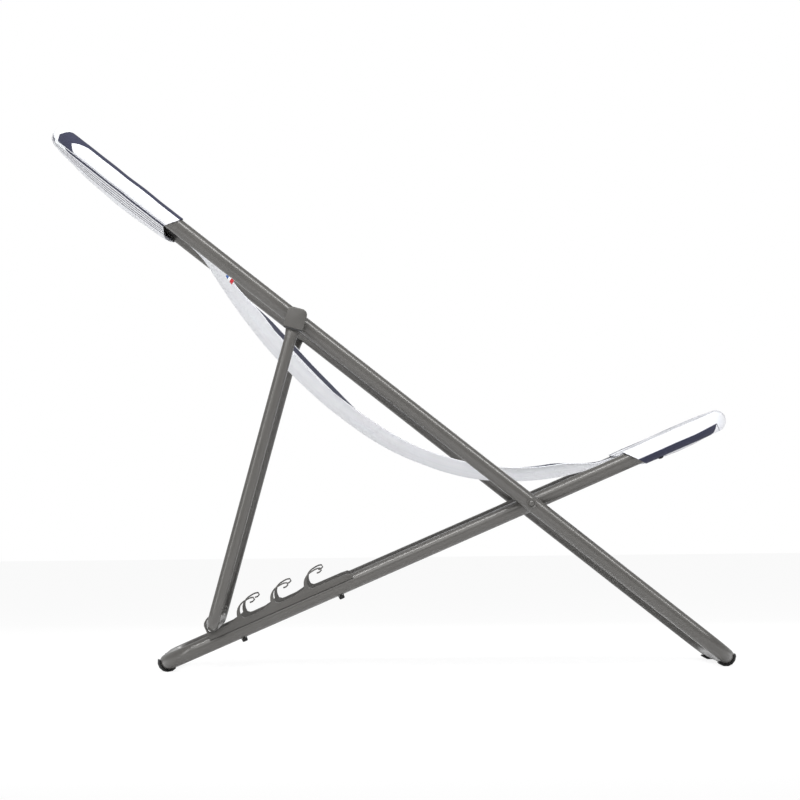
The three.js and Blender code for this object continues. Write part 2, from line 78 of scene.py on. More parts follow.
# ---- Floor and light ----
# A pale seamless floor and a white surround. A long strip light over the near side, a small one
# beside the prop, a broad one in front and a weak one behind draw soft highlights along the tubes.
bpy.ops.mesh.primitive_plane_add(size=40, location=(0, 0, 0))
floor = bpy.context.object
floor.name = "floor"
floor_finish = bpy.data.materials.new("pale_floor")
floor_finish.use_nodes = True
floor_shader = floor_finish.node_tree.nodes["Principled BSDF"]
floor_shader.inputs["Base Color"].default_value = (0.9, 0.9, 0.9, 1)
floor_shader.inputs["Roughness"].default_value = 0.7
floor_nodes = floor_finish.node_tree.nodes
floor_links = floor_finish.node_tree.links
white_glow = floor_nodes.new("ShaderNodeEmission")
white_glow.inputs["Strength"].default_value = 1.06
seen_share = floor_nodes.new("ShaderNodeMath")
seen_share.operation = "MULTIPLY"
seen_share.inputs[1].default_value = 0.82
floor_links.new(floor_nodes.new("ShaderNodeLightPath").outputs["Is Camera Ray"], seen_share.inputs[0])
floor_mix = floor_nodes.new("ShaderNodeMixShader")
floor_links.new(seen_share.outputs[0], floor_mix.inputs["Fac"])
floor_links.new(floor_shader.outputs["BSDF"], floor_mix.inputs[1])
floor_links.new(white_glow.outputs["Emission"], floor_mix.inputs[2])
floor_links.new(floor_mix.outputs["Shader"], floor_nodes["Material Output"].inputs["Surface"])
floor.data.materials.append(floor_finish)

world = bpy.data.worlds.new("white_surround")
world.use_nodes = True
seen_white = world.node_tree.nodes["Background"]
seen_white.inputs["Color"].default_value = (1, 1, 1, 1)
seen_white.inputs["Strength"].default_value = 1.0
dim_surround = world.node_tree.nodes.new("ShaderNodeBackground")
dim_surround.inputs["Color"].default_value = (1, 1, 1, 1)
dim_surround.inputs["Strength"].default_value = 0.50
seen_or_lit = world.node_tree.nodes.new("ShaderNodeMixShader")
ray_kind = world.node_tree.nodes.new("ShaderNodeLightPath")
world_links = world.node_tree.links
world_links.new(ray_kind.outputs["Is Camera Ray"], seen_or_lit.inputs["Fac"])
world_links.new(dim_surround.outputs["Background"], seen_or_lit.inputs[1])
world_links.new(seen_white.outputs["Background"], seen_or_lit.inputs[2])
world_links.new(seen_or_lit.outputs["Shader"], world.node_tree.nodes["World Output"].inputs["Surface"])
bpy.context.scene.world = world


def soft_light(name, place, aim, size, watts):
    bpy.ops.object.light_add(type="AREA", location=place)
    light = bpy.context.object
    light.name = name
    light.data.shape = "RECTANGLE"
    light.data.size = size[0]
    light.data.size_y = size[1]
    light.data.energy = watts
    light.rotation_euler = (Vector(aim) - Vector(place)).to_track_quat("-Z", "Y").to_euler()


soft_light("strip_over_near_side", (0.6, -1.9, 3.0), (0.6, 0, 0.4), (6.4, 0.45), 150)
soft_light("strip_beside_prop", (-2.6, -2.2, 0.9), (0, 0, 0.3), (0.4, 2.0), 18)
soft_light("broad_front", (-1.2, -3.4, 1.9), (0, 0, 0.4), (1.6, 1.2), 20)
soft_light("low_behind", (0.6, 2.8, 1.6), (0, 0, 0.4), (2.0, 1.2), 14)
bpy.context.scene.view_settings.view_transform = "Standard"


# ---- Back frame ----
# The long frame: a 25 mm steel tube bent into a U for the front foot and the two sides, and a
# rounded head hoop butted onto it inside the head pocket. Powder coated in a satin grey taupe with
# a very fine orange peel, a little rougher in places.
tube_radius = 0.0125
butt_gap = 0.0003       # between the two tubes of a frame
back_side = 0.2855      # from the chair's middle to the centre line of a side
foot_bend = 0.055
head_bend = 0.060
crown_bend = 0.700
crown_slope = 0.08
back_length = {"foot": 0.393, "head": 0.9565, "joint": 0.770}    # along a side from the main pivot
prop_pivot = joint_place["prop_swing"]


def frame_axes(origin, along):
    """A matrix whose X runs along a frame's sides and whose Y is the chair's own."""
    x = along.normalized()
    y = Vector((0, 1, 0))
    z = x.cross(y)
    rows = [(x[k], y[k], z[k], origin[k]) for k in range(3)]
    return Matrix((*rows, (0, 0, 0, 1)))


back_axes = frame_axes(main_pivot, main_pivot - prop_pivot)


def new_finish(name, colour, roughness, metallic=0.0):
    """A material with its constants on the shader; returns the material, its nodes and its links."""
    finish = bpy.data.materials.new(name)
    finish.use_nodes = True
    shader = finish.node_tree.nodes["Principled BSDF"]
    shader.inputs["Base Color"].default_value = (*colour, 1)
    shader.inputs["Roughness"].default_value = roughness
    shader.inputs["Metallic"].default_value = metallic
    return finish, finish.node_tree.nodes, finish.node_tree.links


def add_grain(finish, scale, strength, distance, rough_low, rough_high, mottle=None):
    """Fine bump and uneven roughness from noise on the piece's own coordinates."""
    nodes, links = finish.node_tree.nodes, finish.node_tree.links
    shader = nodes["Principled BSDF"]
    place = nodes.new("ShaderNodeTexCoord")
    grain = nodes.new("ShaderNodeTexNoise")
    grain.inputs["Scale"].default_value = scale
    grain.inputs["Detail"].default_value = 3
    links.new(place.outputs["Object"], grain.inputs["Vector"])
    bump = nodes.new("ShaderNodeBump")
    bump.inputs["Strength"].default_value = strength
    bump.inputs["Distance"].default_value = distance
    links.new(grain.outputs["Fac"], bump.inputs["Height"])
    links.new(bump.outputs["Normal"], shader.inputs["Normal"])
    patches = nodes.new("ShaderNodeTexNoise")
    patches.inputs["Scale"].default_value = 14
    patches.inputs["Detail"].default_value = 4
    links.new(place.outputs["Object"], patches.inputs["Vector"])
    spread = nodes.new("ShaderNodeMapRange")
    spread.inputs["From Min"].default_value = 0.3
    spread.inputs["From Max"].default_value = 0.7
    spread.inputs["To Min"].default_value = rough_low
    spread.inputs["To Max"].default_value = rough_high
    links.new(patches.outputs["Fac"], spread.inputs["Value"])
    links.new(spread.outputs["Result"], shader.inputs["Roughness"])
    if mottle:
        tones = nodes.new("ShaderNodeMix")
        tones.data_type = "RGBA"
        tones.inputs["A"].default_value = (*mottle[0], 1)
        tones.inputs["B"].default_value = (*mottle[1], 1)
        links.new(patches.outputs["Fac"], tones.inputs["Factor"])
        links.new(tones.outputs["Result"], shader.inputs["Base Color"])


paint, _, _ = new_finish("taupe_powder_coat", (0.074, 0.071, 0.066), 0.34, 0.2)
add_grain(paint, 900, 0.02, 0.0001, 0.31, 0.40, ((0.069, 0.066, 0.061), (0.083, 0.079, 0.074)))
paint_shader = paint.node_tree.nodes["Principled BSDF"]
paint_shader.inputs["Coat Weight"].default_value = 0.5
paint_shader.inputs["Coat Roughness"].default_value = 0.24


def settle(piece, axes, finish, body, stands_for=(), angle=40):
    """Puts a finished piece at its frame's place with its object at the origin, and lets it ride."""
    bpy.ops.object.select_all(action="DESELECT")
    piece.select_set(True)
    bpy.context.view_layer.objects.active = piece
    piece.data.transform(axes @ piece.matrix_world)
    piece.matrix_world = Matrix.Identity(4)
    bpy.ops.object.mode_set(mode="EDIT")
    bpy.ops.mesh.select_all(action="SELECT")
    bpy.ops.mesh.remove_doubles(threshold=0.00001)
    bpy.ops.mesh.normals_make_consistent(inside=False)
    bpy.ops.object.mode_set(mode="OBJECT")
    bpy.ops.object.shade_smooth_by_angle(angle=math.radians(angle))
    piece.data.materials.clear()
    piece.data.materials.append(finish)
    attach(piece, body)
    if stands_for:
        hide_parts(*stands_for)
    bpy.ops.object.select_all(action="DESELECT")


def bent_tube(name, radius, corners, bends, bend_steps=14, sides=36):
    """A tube modelled from one ring: extruded along each straight run and spun round each bend."""
    points = [Vector(corner) for corner in corners]
    runs = [(b - a).normalized() for a, b in zip(points, points[1:])]
    turned = runs[0].to_track_quat("Z", "Y").to_euler()
    bpy.ops.mesh.primitive_circle_add(vertices=sides, radius=radius, location=points[0], rotation=turned)
    tube = bpy.context.object
    tube.name = name
    bpy.ops.object.transform_apply(location=True, rotation=True, scale=True)
    bpy.ops.object.mode_set(mode="EDIT")
    bpy.ops.mesh.select_all(action="SELECT")
    at = points[0]
    for i in range(1, len(points)):
        last = i == len(points) - 1
        angle = 0 if last else runs[i - 1].angle(runs[i])
        reach = bends[i - 1] * math.tan(angle / 2) if angle > 0.0001 else 0
        stop = points[i] - runs[i - 1] * reach
        bpy.ops.mesh.extrude_region_move(TRANSFORM_OT_translate={"value": stop - at})
        at = stop
        if reach:
            axis = runs[i - 1].cross(runs[i]).normalized()
            middle = stop + axis.cross(runs[i - 1]) * bends[i - 1]
            bpy.ops.mesh.spin(steps=bend_steps, angle=-angle, center=middle, axis=axis)
            at = points[i] + runs[i] * reach
    bpy.ops.object.mode_set(mode="OBJECT")
    return tube


def hoop_corners(open_x, end_x, side):
    """A hoop open at open_x, with a straight crossbar at end_x."""
    return [(open_x, side, 0), (end_x, side, 0), (end_x, -side, 0), (open_x, -side, 0)]


def arched_corners(open_x, apex_x, side):
    """A hoop whose crown is gently arched, apex_x being its centre line's furthest point."""
    outward = math.copysign(1, apex_x - open_x)
    crown = apex_x + outward * crown_bend * (math.hypot(1, crown_slope) - 1)
    shoulder = crown - outward * crown_slope * side
    left = [(open_x, side, 0), (shoulder, side, 0)]
    right = [(shoulder, -side, 0), (open_x, -side, 0)]
    return left + [(crown, 0, 0)] + right


back_foot_hoop = bent_tube(
    "back_foot_tube",
    tube_radius,
    hoop_corners(-back_length["joint"], back_length["foot"], back_side),
    [foot_bend] * 2,
)
settle(back_foot_hoop, back_axes, paint, "back_frame", ["back_foot_hoop"])

back_head_hoop = bent_tube(
    "back_head_tube",
    tube_radius,
    arched_corners(-back_length["joint"] - butt_gap, -back_length["head"], back_side),
    [head_bend, crown_bend, head_bend],
)
settle(back_head_hoop, back_axes, paint, "back_frame", ["back_head_hoop"])


# ---- Seat frame ----
# The short frame inside the long one, of the same coated tube: a U for the rear foot and the two
# sides, and a rounded front hoop butted onto it inside the front pocket.
seat_side = 0.2585
front_bend = 0.055
rear_low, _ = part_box("seat_rear_hoop")
rear_foot = Vector((rear_low[0] + tube_radius, 0, rear_low[2] + tube_radius))
seat_axes = frame_axes(main_pivot, main_pivot - rear_foot)
seat_length = {"rear": (main_pivot - rear_foot).length, "front": 0.335, "joint": 0.204}

seat_rear_hoop = bent_tube(
    "seat_rear_tube",
    tube_radius,
    hoop_corners(seat_length["joint"], -seat_length["rear"], seat_side),
    [foot_bend] * 2,
)
settle(seat_rear_hoop, seat_axes, paint, "seat_frame", ["seat_rear_hoop"])

seat_front_hoop = bent_tube(
    "seat_front_tube",
    tube_radius,
    arched_corners(seat_length["joint"] + butt_gap, seat_length["front"], seat_side),
    [front_bend, crown_bend, front_bend],
)
settle(seat_front_hoop, seat_axes, paint, "seat_frame", ["seat_front_hoop"])


# ---- Prop ----
# A thinner U of the same coated tube, its crossbar lying in the racks. The tops of its legs are
# pressed flat and flare to the width of the caps that they go into.
prop_radius = 0.0095
prop_side = back_side + 0.026
prop_bend = 0.028
prop_top = -0.009       # the legs' upper ends, along a leg from its pivot
flare_start = 0.010
flare_length = 0.034
flare_widen = 1.27
flare_flatten = 0.45
prop_low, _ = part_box("prop_hoop")
prop_bar = Vector((prop_low[0] + prop_radius, 0, prop_low[2] + prop_radius))
prop_axes = frame_axes(prop_pivot, prop_bar - prop_pivot)
prop_length = (prop_bar - prop_pivot).length

flare_rows = [prop_top, 0.010, 0.014, 0.018, 0.022, 0.026, 0.030, 0.034]
left_leg = [(x, prop_side, 0) for x in flare_rows]
right_leg = [(x, -prop_side, 0) for x in reversed(flare_rows)]
crossbar = [(prop_length, prop_side, 0), (prop_length, -prop_side, 0)]
straight_rows = [0] * (len(flare_rows) - 1)
prop = bent_tube(
    "prop_tube",
    prop_radius,
    left_leg + crossbar + right_leg,
    straight_rows + [prop_bend] * 2 + straight_rows,
)
for vertex in prop.data.vertices:
    share = min(1, max(0, (vertex.co.x - flare_start) / (flare_length - flare_start)))
    press = 1 - share * share * (3 - 2 * share)
    middle = math.copysign(prop_side, vertex.co.y)
    vertex.co.y = middle + (vertex.co.y - middle) * (1 + (flare_flatten - 1) * press)
    vertex.co.z *= 1 + (flare_widen - 1) * press
settle(prop, prop_axes, paint, "prop", ["prop_hoop"])


# ---- Moulded racks and caps ----
# Grey nylon mouldings in the colour of the paint but duller: a saddle with four notches and springy
# fingers on each side of the seat frame, and a box-like cap on each prop leg, with a thin black plate
# under its mouth as painted shadow where the leg goes in.
moulded, _, _ = new_finish("grey_nylon", (0.070, 0.067, 0.063), 0.45)
add_grain(moulded, 1600, 0.2, 0.0003, 0.36, 0.52, ((0.064, 0.061, 0.057), (0.080, 0.077, 0.072)))


def rounded_copy(node, name, width, body, finish, angle=38):
    """A copy of a solid of the frame with its edges rounded over by width."""
    source = frame["nodes"][node]
    piece = bpy.data.objects.new(name, source.data.copy())
    bpy.context.collection.objects.link(piece)
    bpy.ops.object.select_all(action="DESELECT")
    piece.select_set(True)
    bpy.context.view_layer.objects.active = piece
    piece.data.transform(source.matrix_world)
    bpy.ops.object.mode_set(mode="EDIT")
    bpy.ops.mesh.select_all(action="SELECT")
    bpy.ops.mesh.remove_doubles(threshold=0.00002)
    bpy.ops.mesh.dissolve_limited(angle_limit=math.radians(3))
    bpy.ops.object.mode_set(mode="OBJECT")
    bevel = piece.modifiers.new("round_edges", "BEVEL")
    bevel.width = width
    bevel.segments = 3
    bevel.limit_method = "ANGLE"
    bevel.angle_limit = math.radians(angle)
    bevel.use_clamp_overlap = True
    bpy.ops.object.modifier_apply(modifier=bevel.name)
    settle(piece, Matrix.Identity(4), finish, body, [node], angle)
    return piece


black_plastic, _, _ = new_finish("black_plastic", (0.02, 0.02, 0.021), 0.45)
add_grain(black_plastic, 1500, 0.2, 0.0002, 0.38, 0.55, ((0.016, 0.016, 0.017), (0.028, 0.028, 0.029)))

# A thin black plate just under each cap's mouth is painted shadow: it stands for the shade in the gap
# where the leg goes into the cap.
cap_mouth = 0.0165      # along the leg from its pivot
shadow_plate_thick = 0.0020
shadow_plate_across = 0.0300
shadow_plate_inset = 0.0024
for side in ("left", "right"):
    cap_low, cap_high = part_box(f"prop_cap_{side}")
    middle = (cap_low[1] + cap_high[1]) / 2
    bpy.ops.mesh.primitive_cube_add(size=1, location=(cap_mouth + 0.0008, middle, 0))
    shadow_plate = bpy.context.object
    shadow_plate.name = f"cap_shadow_plate_{side}"
    shadow_plate.scale = (shadow_plate_thick, cap_high[1] - cap_low[1] - shadow_plate_inset, shadow_plate_across)
    settle(shadow_plate, prop_axes, black_plastic, "prop")
    rounded_copy(f"notch_rack_{side}", f"rack_{side}", 0.0006, "seat_frame", moulded)
    rounded_copy(f"prop_cap_{side}", f"cap_{side}", 0.0018, "prop", moulded)


# ---- Rubber foot pads ----
# Black rubber half shells pushed over the bends of both feet, matt and dusty grey on the parts that
# stand out, with a flat underside where they meet the ground.
rubber, _, _ = new_finish("black_rubber", (0.012, 0.012, 0.013), 0.75)
add_grain(rubber, 1100, 0.35, 0.0004, 0.66, 0.88, ((0.010, 0.010, 0.011), (0.022, 0.022, 0.022)))

for end, body in (("front", "back_frame"), ("rear", "seat_frame")):
    for side in ("left", "right"):
        rounded_copy(f"foot_pad_{end}_{side}", f"pad_{end}_{side}", 0.0005, body, rubber)


# ---- Pivots, washers and screws ----
# Domed rivets painted with the frame at the main pivots, plated rivets inside the caps, black
# spacers and washers, and black cap screws that hold the racks from below.
steel, _, _ = new_finish("zinc_plate", (0.45, 0.45, 0.46), 0.35, 1.0)
add_grain(steel, 700, 0.15, 0.0002, 0.28, 0.42, ((0.40, 0.40, 0.41), (0.50, 0.50, 0.51)))
black_screw, _, _ = new_finish("black_oxide", (0.010, 0.010, 0.011), 0.38, 0.6)
add_grain(black_screw, 900, 0.2, 0.0002, 0.3, 0.5, ((0.008, 0.008, 0.009), (0.02, 0.02, 0.02)))


def turned_piece(name, outline, steps=40):
    """A piece turned about the Y axis from its outline, given as (radius, y) from the axis out."""
    bpy.ops.mesh.primitive_plane_add(size=1)
    piece = bpy.context.object
    piece.name = name
    bpy.ops.object.mode_set(mode="EDIT")
    bpy.ops.mesh.merge(type="CENTER")
    bpy.ops.transform.translate(value=Vector((outline[0][0], outline[0][1], 0)))
    for (r0, y0), (r1, y1) in zip(outline, outline[1:]):
        bpy.ops.mesh.extrude_region_move(TRANSFORM_OT_translate={"value": (r1 - r0, y1 - y0, 0)})
    bpy.ops.mesh.select_all(action="SELECT")
    bpy.ops.mesh.spin(steps=steps, angle=2 * math.pi, center=(0, 0, 0), axis=(0, 1, 0))
    bpy.ops.mesh.select_all(action="SELECT")
    bpy.ops.mesh.remove_doubles(threshold=0.00001)
    bpy.ops.object.mode_set(mode="OBJECT")
    return piece


def rivet_outline(pin, head, height, inner_y, outer_y, inner_head, under_head):
    """From the flat inner head to the domed outer one; under_head lies between pin and dome."""
    dome = []
    for k in range(7):
        sweep = k * math.pi / 12
        dome.append((head * math.cos(sweep), outer_y + 0.001 + (height - 0.001) * math.sin(sweep)))
    return [
        (0, inner_y - 0.002),
        (inner_head - 0.0006, inner_y - 0.002),
        (inner_head, inner_y - 0.0014),
        (inner_head, inner_y),
        (pin, inner_y),
        (pin, outer_y),
        *under_head,
        *dome,
    ]


seated = 0.0003         # clearance under a rivet's head
main_head_y = back_side + tube_radius + seated
main_inner_y = seat_side - tube_radius - 0.0018
dimple = [
    (0.0079, 0.0),
    (0.0080, 0.0008),
    (0.0076, 0.0013),
    (0.0066, 0.0010),
    (0.0056, 0.0007),
    (0.0047, 0.0006),
]
ring = [(radius, main_head_y + y) for radius, y in dimple]
prop_head = 0.006
prop_head_y = prop_side + 0.0046
prop_inner_y = back_side - tube_radius - seated
main_outline = rivet_outline(0.004, 0.0046, 0.0042, main_inner_y, main_head_y, 0.007, ring)
prop_outline = rivet_outline(
    0.0032, prop_head, 0.0024, prop_inner_y, prop_head_y, 0.0055, [(prop_head - 0.0003, prop_head_y)]
)
small_parts = (
    ("main_pivot_washer", "washer", 0.0002, "back_frame", "pivot_steel", steel),
    ("main_pivot_spacer", "spacer", 0.0002, "back_frame", "spacer_plastic", black_plastic),
    ("prop_pivot_washer", "prop_washer", 0.0004, "prop", "spacer_plastic", black_plastic),
    ("pocket_stud", "stud", 0.0004, "seat_frame", "screw_black", black_screw),
    ("rack_screw_rear", "screw_rear", 0.0003, "seat_frame", "screw_black", black_screw),
    ("rack_screw_front", "screw_front", 0.0003, "seat_frame", "screw_black", black_screw),
)
for side, sign in (("left", 1), ("right", -1)):
    for name, outline, pivot, finish, slot in (
        ("main", main_outline, main_pivot, paint, "rivet_paint"),
        ("prop", prop_outline, prop_pivot, steel, "pivot_steel"),
    ):
        rivet = turned_piece(f"{name}_rivet_{side}", [(radius, sign * y) for radius, y in outline])
        stands_for = [f"{name}_pivot_rivet_{side}"]
        settle(rivet, Matrix.Translation(pivot), finish, "back_frame", stands_for)
    for node, name, width, body, slot, finish in small_parts:
        rounded_copy(f"{node}_{side}", f"{name}_{side}", width, body, finish)
    for hidden in (f"back_sleeve_{side}", f"seat_sleeve_{side}"):
        frame["nodes"][hidden].data.materials.clear()
        frame["nodes"][hidden].data.materials.append(steel)


# ---- Head pocket ----
# The sling's top end, doubled back and sewn into a bag over the head hoop, its back layer slack. The
# cloth is plain-woven white with lengthwise stripes: a white border, a broad navy stripe, white,
# then pinstripes. On the reverse they only just show through.
cloth_half = 0.309      # from the cloth's middle to its edge, where the stripes are counted from
border = 0.011
navy_width = 0.028
pinstripes_end = 0.224
first_pinstripe = pinstripes_end - 0.184
pinstripe_pitch = 0.042
pinstripe_width = 0.014
rust_width = 0.002      # the first threads of every other pinstripe
stripe_span = 0.4       # the distance that the whole colour ramp stands for
navy = (0.022, 0.024, 0.052)
white = (0.74, 0.75, 0.78)
rust = (0.10, 0.028, 0.030)


def stripe_edges():
    """The cloth's colours from its middle outwards, as (distance, colour)."""
    edges = [(0.0, white)]
    for k in range(5):
        start = first_pinstripe + pinstripe_pitch * k
        edges.append((start, rust if k % 2 else navy))
        edges.append((start + rust_width, navy))
        edges.append((start + pinstripe_width, white))
    edges.append((cloth_half - border - navy_width, navy))
    edges.append((cloth_half - border, white))
    return edges


def cloth_finish(name, through=1.0):
    """Striped cloth; through is how strongly the stripes show, less on the reverse side."""
    finish, nodes, links = new_finish(name, white, 0.85)
    shader = nodes["Principled BSDF"]
    shader.inputs["Sheen Weight"].default_value = 0.05
    shader.inputs["Sheen Roughness"].default_value = 0.5
    count = nodes.new("ShaderNodeAttribute")
    count.attribute_name = "from_middle"
    span = nodes.new("ShaderNodeMath")
    span.operation = "MULTIPLY"
    span.inputs[1].default_value = 1 / stripe_span
    links.new(count.outputs["Fac"], span.inputs[0])
    ramp = nodes.new("ShaderNodeValToRGB")
    ramp.color_ramp.interpolation = "CONSTANT"
    while len(ramp.color_ramp.elements) > 1:
        ramp.color_ramp.elements.remove(ramp.color_ramp.elements[-1])
    for k, (at, colour) in enumerate(stripe_edges()):
        shown = [w + (c - w) * through for c, w in zip(colour, white)]
        stop = ramp.color_ramp.elements[0] if k == 0 else ramp.color_ramp.elements.new(at / stripe_span)
        stop.color = (*shown, 1)
    links.new(span.outputs[0], ramp.inputs["Fac"])
    place = nodes.new("ShaderNodeTexCoord")
    threads = []
    for axis in ("X", "Y"):
        weave = nodes.new("ShaderNodeTexWave")
        weave.wave_type = "BANDS"
        weave.bands_direction = axis
        weave.inputs["Scale"].default_value = 420
        weave.inputs["Distortion"].default_value = 0.6
        links.new(place.outputs["UV"], weave.inputs["Vector"])
        threads.append(weave)
    woven = nodes.new("ShaderNodeMath")
    woven.operation = "MULTIPLY"
    links.new(threads[0].outputs["Fac"], woven.inputs[0])
    links.new(threads[1].outputs["Fac"], woven.inputs[1])
    slub = nodes.new("ShaderNodeTexNoise")
    slub.inputs["Scale"].default_value = 24
    slub.inputs["Detail"].default_value = 4
    links.new(place.outputs["Object"], slub.inputs["Vector"])
    height = nodes.new("ShaderNodeMath")
    height.operation = "ADD"
    links.new(woven.outputs[0], height.inputs[0])
    links.new(slub.outputs["Fac"], height.inputs[1])
    bump = nodes.new("ShaderNodeBump")
    bump.inputs["Strength"].default_value = 0.06
    bump.inputs["Distance"].default_value = 0.0001
    links.new(height.outputs[0], bump.inputs["Height"])
    links.new(bump.outputs["Normal"], shader.inputs["Normal"])
    shade = nodes.new("ShaderNodeMix")
    shade.data_type = "RGBA"
    shade.blend_type = "MULTIPLY"
    shade.inputs["Factor"].default_value = 0.06
    links.new(ramp.outputs["Color"], shade.inputs["A"])
    links.new(slub.outputs["Color"], shade.inputs["B"])
    links.new(shade.outputs["Result"], shader.inputs["Base Color"])
    return finish


cloth = cloth_finish("striped_cloth")
cloth_reverse = cloth_finish("cloth_reverse", 0.03)
cloth_thick = 0.0011
cloth_radius = tube_radius + 0.0022     # the cloth's outer face round a tube


def cloth_grid(name, across, along, shape):
    """A grid shaped point by point: shape(u, v) gives a place and the distance from the middle."""
    bpy.ops.mesh.primitive_grid_add(x_subdivisions=across, y_subdivisions=along, size=1, calc_uvs=True)
    piece = bpy.context.object
    piece.name = name
    mark = piece.data.attributes.new("from_middle", "FLOAT", "POINT")
    for vertex in piece.data.vertices:
        place, count = shape(vertex.co.x + 0.5, vertex.co.y + 0.5)
        vertex.co = place
        mark.data[vertex.index].value = count
    return piece


def thicken(piece, printed, plain):
    """Gives cloth its thickness: printed is the finish of the shaped face, plain that of the other."""
    bpy.ops.object.select_all(action="DESELECT")
    piece.select_set(True)
    bpy.context.view_layer.objects.active = piece
    bpy.ops.object.mode_set(mode="EDIT")
    bpy.ops.mesh.select_all(action="SELECT")
    bpy.ops.mesh.remove_doubles(threshold=0.00005)
    bpy.ops.object.mode_set(mode="OBJECT")
    piece.data.materials.append(printed)
    piece.data.materials.append(plain)
    solid = piece.modifiers.new("thickness", "SOLIDIFY")
    solid.thickness = cloth_thick
    solid.offset = -1
    solid.material_offset = 1
    bpy.ops.object.modifier_apply(modifier=solid.name)
    bpy.ops.object.shade_smooth_by_angle(angle=math.radians(50))


def stadium(u, half, height, flat_share=0.62):
    """A point round a flat loop: (y, z, angle) for u from 0 to 1, from the middle of the top."""
    turn_round = u * 4
    quarter = min(3, int(turn_round))
    part = turn_round - quarter
    if quarter in (1, 3):
        part = 1 - part
    straight = half - height
    if part < flat_share:
        y = straight * part / flat_share
        z = height
        angle = math.pi / 2
    else:
        angle = math.pi / 2 * (1 - (part - flat_share) / (1 - flat_share))
        y = straight + height * math.cos(angle)
        z = height * math.sin(angle)
    side = 1 if quarter < 2 else -1
    under = quarter in (1, 2)
    return side * y, -z if under else z, -angle if under else angle


def pocket(name, mouth, apex, side, bend, sign, dip_top, dip_under, mark, rows=64, nose=20):
    """A bag that follows its hoop; a is measured along the frame from the main pivot."""
    body_rows = rows - nose
    first = mouth(0)

    def shape(u, v):
        row = v * rows
        if row <= body_rows:
            share = row / body_rows
            a = first + (apex - first) * share
            height = cloth_radius
        else:
            swing = (row - body_rows) / nose * math.pi / 2
            share = 1
            a = apex + cloth_radius * math.sin(swing)
            height = cloth_radius * max(0.0, math.cos(swing))
        bend_start = apex - bend
        out = 0 if a < bend_start else a - bend_start
        reach = bend + cloth_radius
        half = side - bend + math.sqrt(max(0, reach * reach - out * out))
        y, z, angle = stadium(u, half, height)
        straight = half - height
        under = angle < 0
        inside = max(0, 1 - abs(y / straight) ** (1.3 if under else 2)) if abs(y) < straight else 0
        dip = (dip_under if under else dip_top)(share)
        z -= dip * inside
        a += (mouth(angle) - first) * (1 - share)
        a -= crown_slope * (math.hypot(y, 0.04) - 0.04) * share ** 2
        shrink = side + cloth_radius - half
        flat_left = straight - abs(y) if abs(y) < straight else 0
        count = mark(angle, flat_left, shrink, cloth_radius)
        pucker = noise.noise(Vector((a * 30, y * 18, 3.0 if under else 0.0))) * 0.0006
        z += pucker * (1 if z > 0 else -1) * (1 if height > 0.005 else 0)
        return Vector((sign * a, y, z)), count

    return cloth_grid(name, 104, rows, shape)


def head_mark(angle, flat_left, shrink, radius):
    """Where a point of the bag lies on the flat cloth, counted from the cloth's middle."""
    if angle >= 0:
        return cloth_half - shrink - radius * angle - flat_left
    arc = flat_left - radius * angle
    if arc < 0.013:
        return cloth_half - shrink - 0.6 * arc
    return pinstripes_end - shrink - (arc - 0.013)


def head_dip_top(share):
    return 0.012 * (1 - share) ** 1.5


def head_dip_under(share):
    return 0.013 * math.sin(math.pi * (0.22 + 0.78 * min(share, 1))) ** 0.8


def head_mouth(angle):
    return 0.716 - 0.009 * math.sin(angle)


def place_cloth(piece, axes, body, node):
    """Puts a pocket on its frame, lets it ride and stand for its node."""
    piece.data.transform(axes)
    bpy.ops.object.select_all(action="DESELECT")
    piece.select_set(True)
    bpy.context.view_layer.objects.active = piece
    bpy.ops.object.mode_set(mode="EDIT")
    bpy.ops.mesh.select_all(action="SELECT")
    bpy.ops.mesh.normals_make_consistent(inside=False)
    bpy.ops.object.mode_set(mode="OBJECT")
    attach(piece, body)
    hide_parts(node)


head_pocket = pocket(
    "head_pocket_cloth",
    head_mouth,
    back_length["head"],
    back_side,
    head_bend,
    -1,
    head_dip_top,
    head_dip_under,
    head_mark,
)
thicken(head_pocket, cloth, cloth_reverse)
place_cloth(head_pocket, back_axes, "back_frame", "head_pocket")


# ---- Front pocket ----
# The other end is sewn the same way over the front hoop, with a slanting mouth that reaches further
# back above the tube than below it. Its border covers the side of the tube and navy lies beneath.
def front_mark(angle, flat_left, shrink, radius):
    arc = radius * angle + 0.004
    if flat_left > 0 and angle > 0:
        return cloth_half + 0.0095 - shrink - flat_left
    if arc >= 0 or shrink > navy_width:
        return cloth_half
    return cloth_half - border - 0.001 - shrink + arc - flat_left


def front_mouth(angle):
    return 0.1785 - 0.0135 * math.sin(angle)


front_pocket = pocket(
    "front_pocket_cloth",
    front_mouth,
    seat_length["front"],
    seat_side,
    front_bend,
    1,
    lambda share: 0.004 * (1 - share),
    lambda share: 0.006 * math.sin(math.pi * share),
    front_mark,
)
thicken(front_pocket, cloth_reverse, cloth)
place_cloth(front_pocket, seat_axes, "seat_frame", "front_pocket")


# ---- Sling ----
# One length of the cloth that hangs in a long curve from the head pocket's mouth, between the side
# tubes, to the front pocket's mouth. Its hemmed edges ride a little higher than its middle.
sling_rows = 150
sling_half = 0.242      # half the cloth's width between the seat frame's sides
top_spread = 0.026      # how much wider it grows at the head pocket


def bezier(points, t):
    a, b, c, d = points
    s = 1 - t
    return a * s**3 + b * (3 * s * s * t) + c * (3 * s * t * t) + d * t**3


sling_top = back_axes @ Vector((-0.640, 0, -0.017))
sling_front = seat_axes @ Vector((0.170, 0, 0.006))
top_lean = math.radians(58)
top_handle = Vector((math.cos(top_lean), 0, -math.sin(top_lean))) * 0.300
front_handle = seat_axes @ Vector((-0.300, 0, 0)) - seat_axes @ Vector((0, 0, 0))
hang = [sling_top, sling_top + top_handle, sling_front + front_handle, sling_front]
mouth_top = back_axes @ Vector((-0.724, 0, -0.0025))
lead = [mouth_top, mouth_top + (sling_top - mouth_top) * 0.45, sling_top - top_handle * 0.12, sling_top]
tuck = seat_axes @ Vector((0.185, 0, 0.0085))


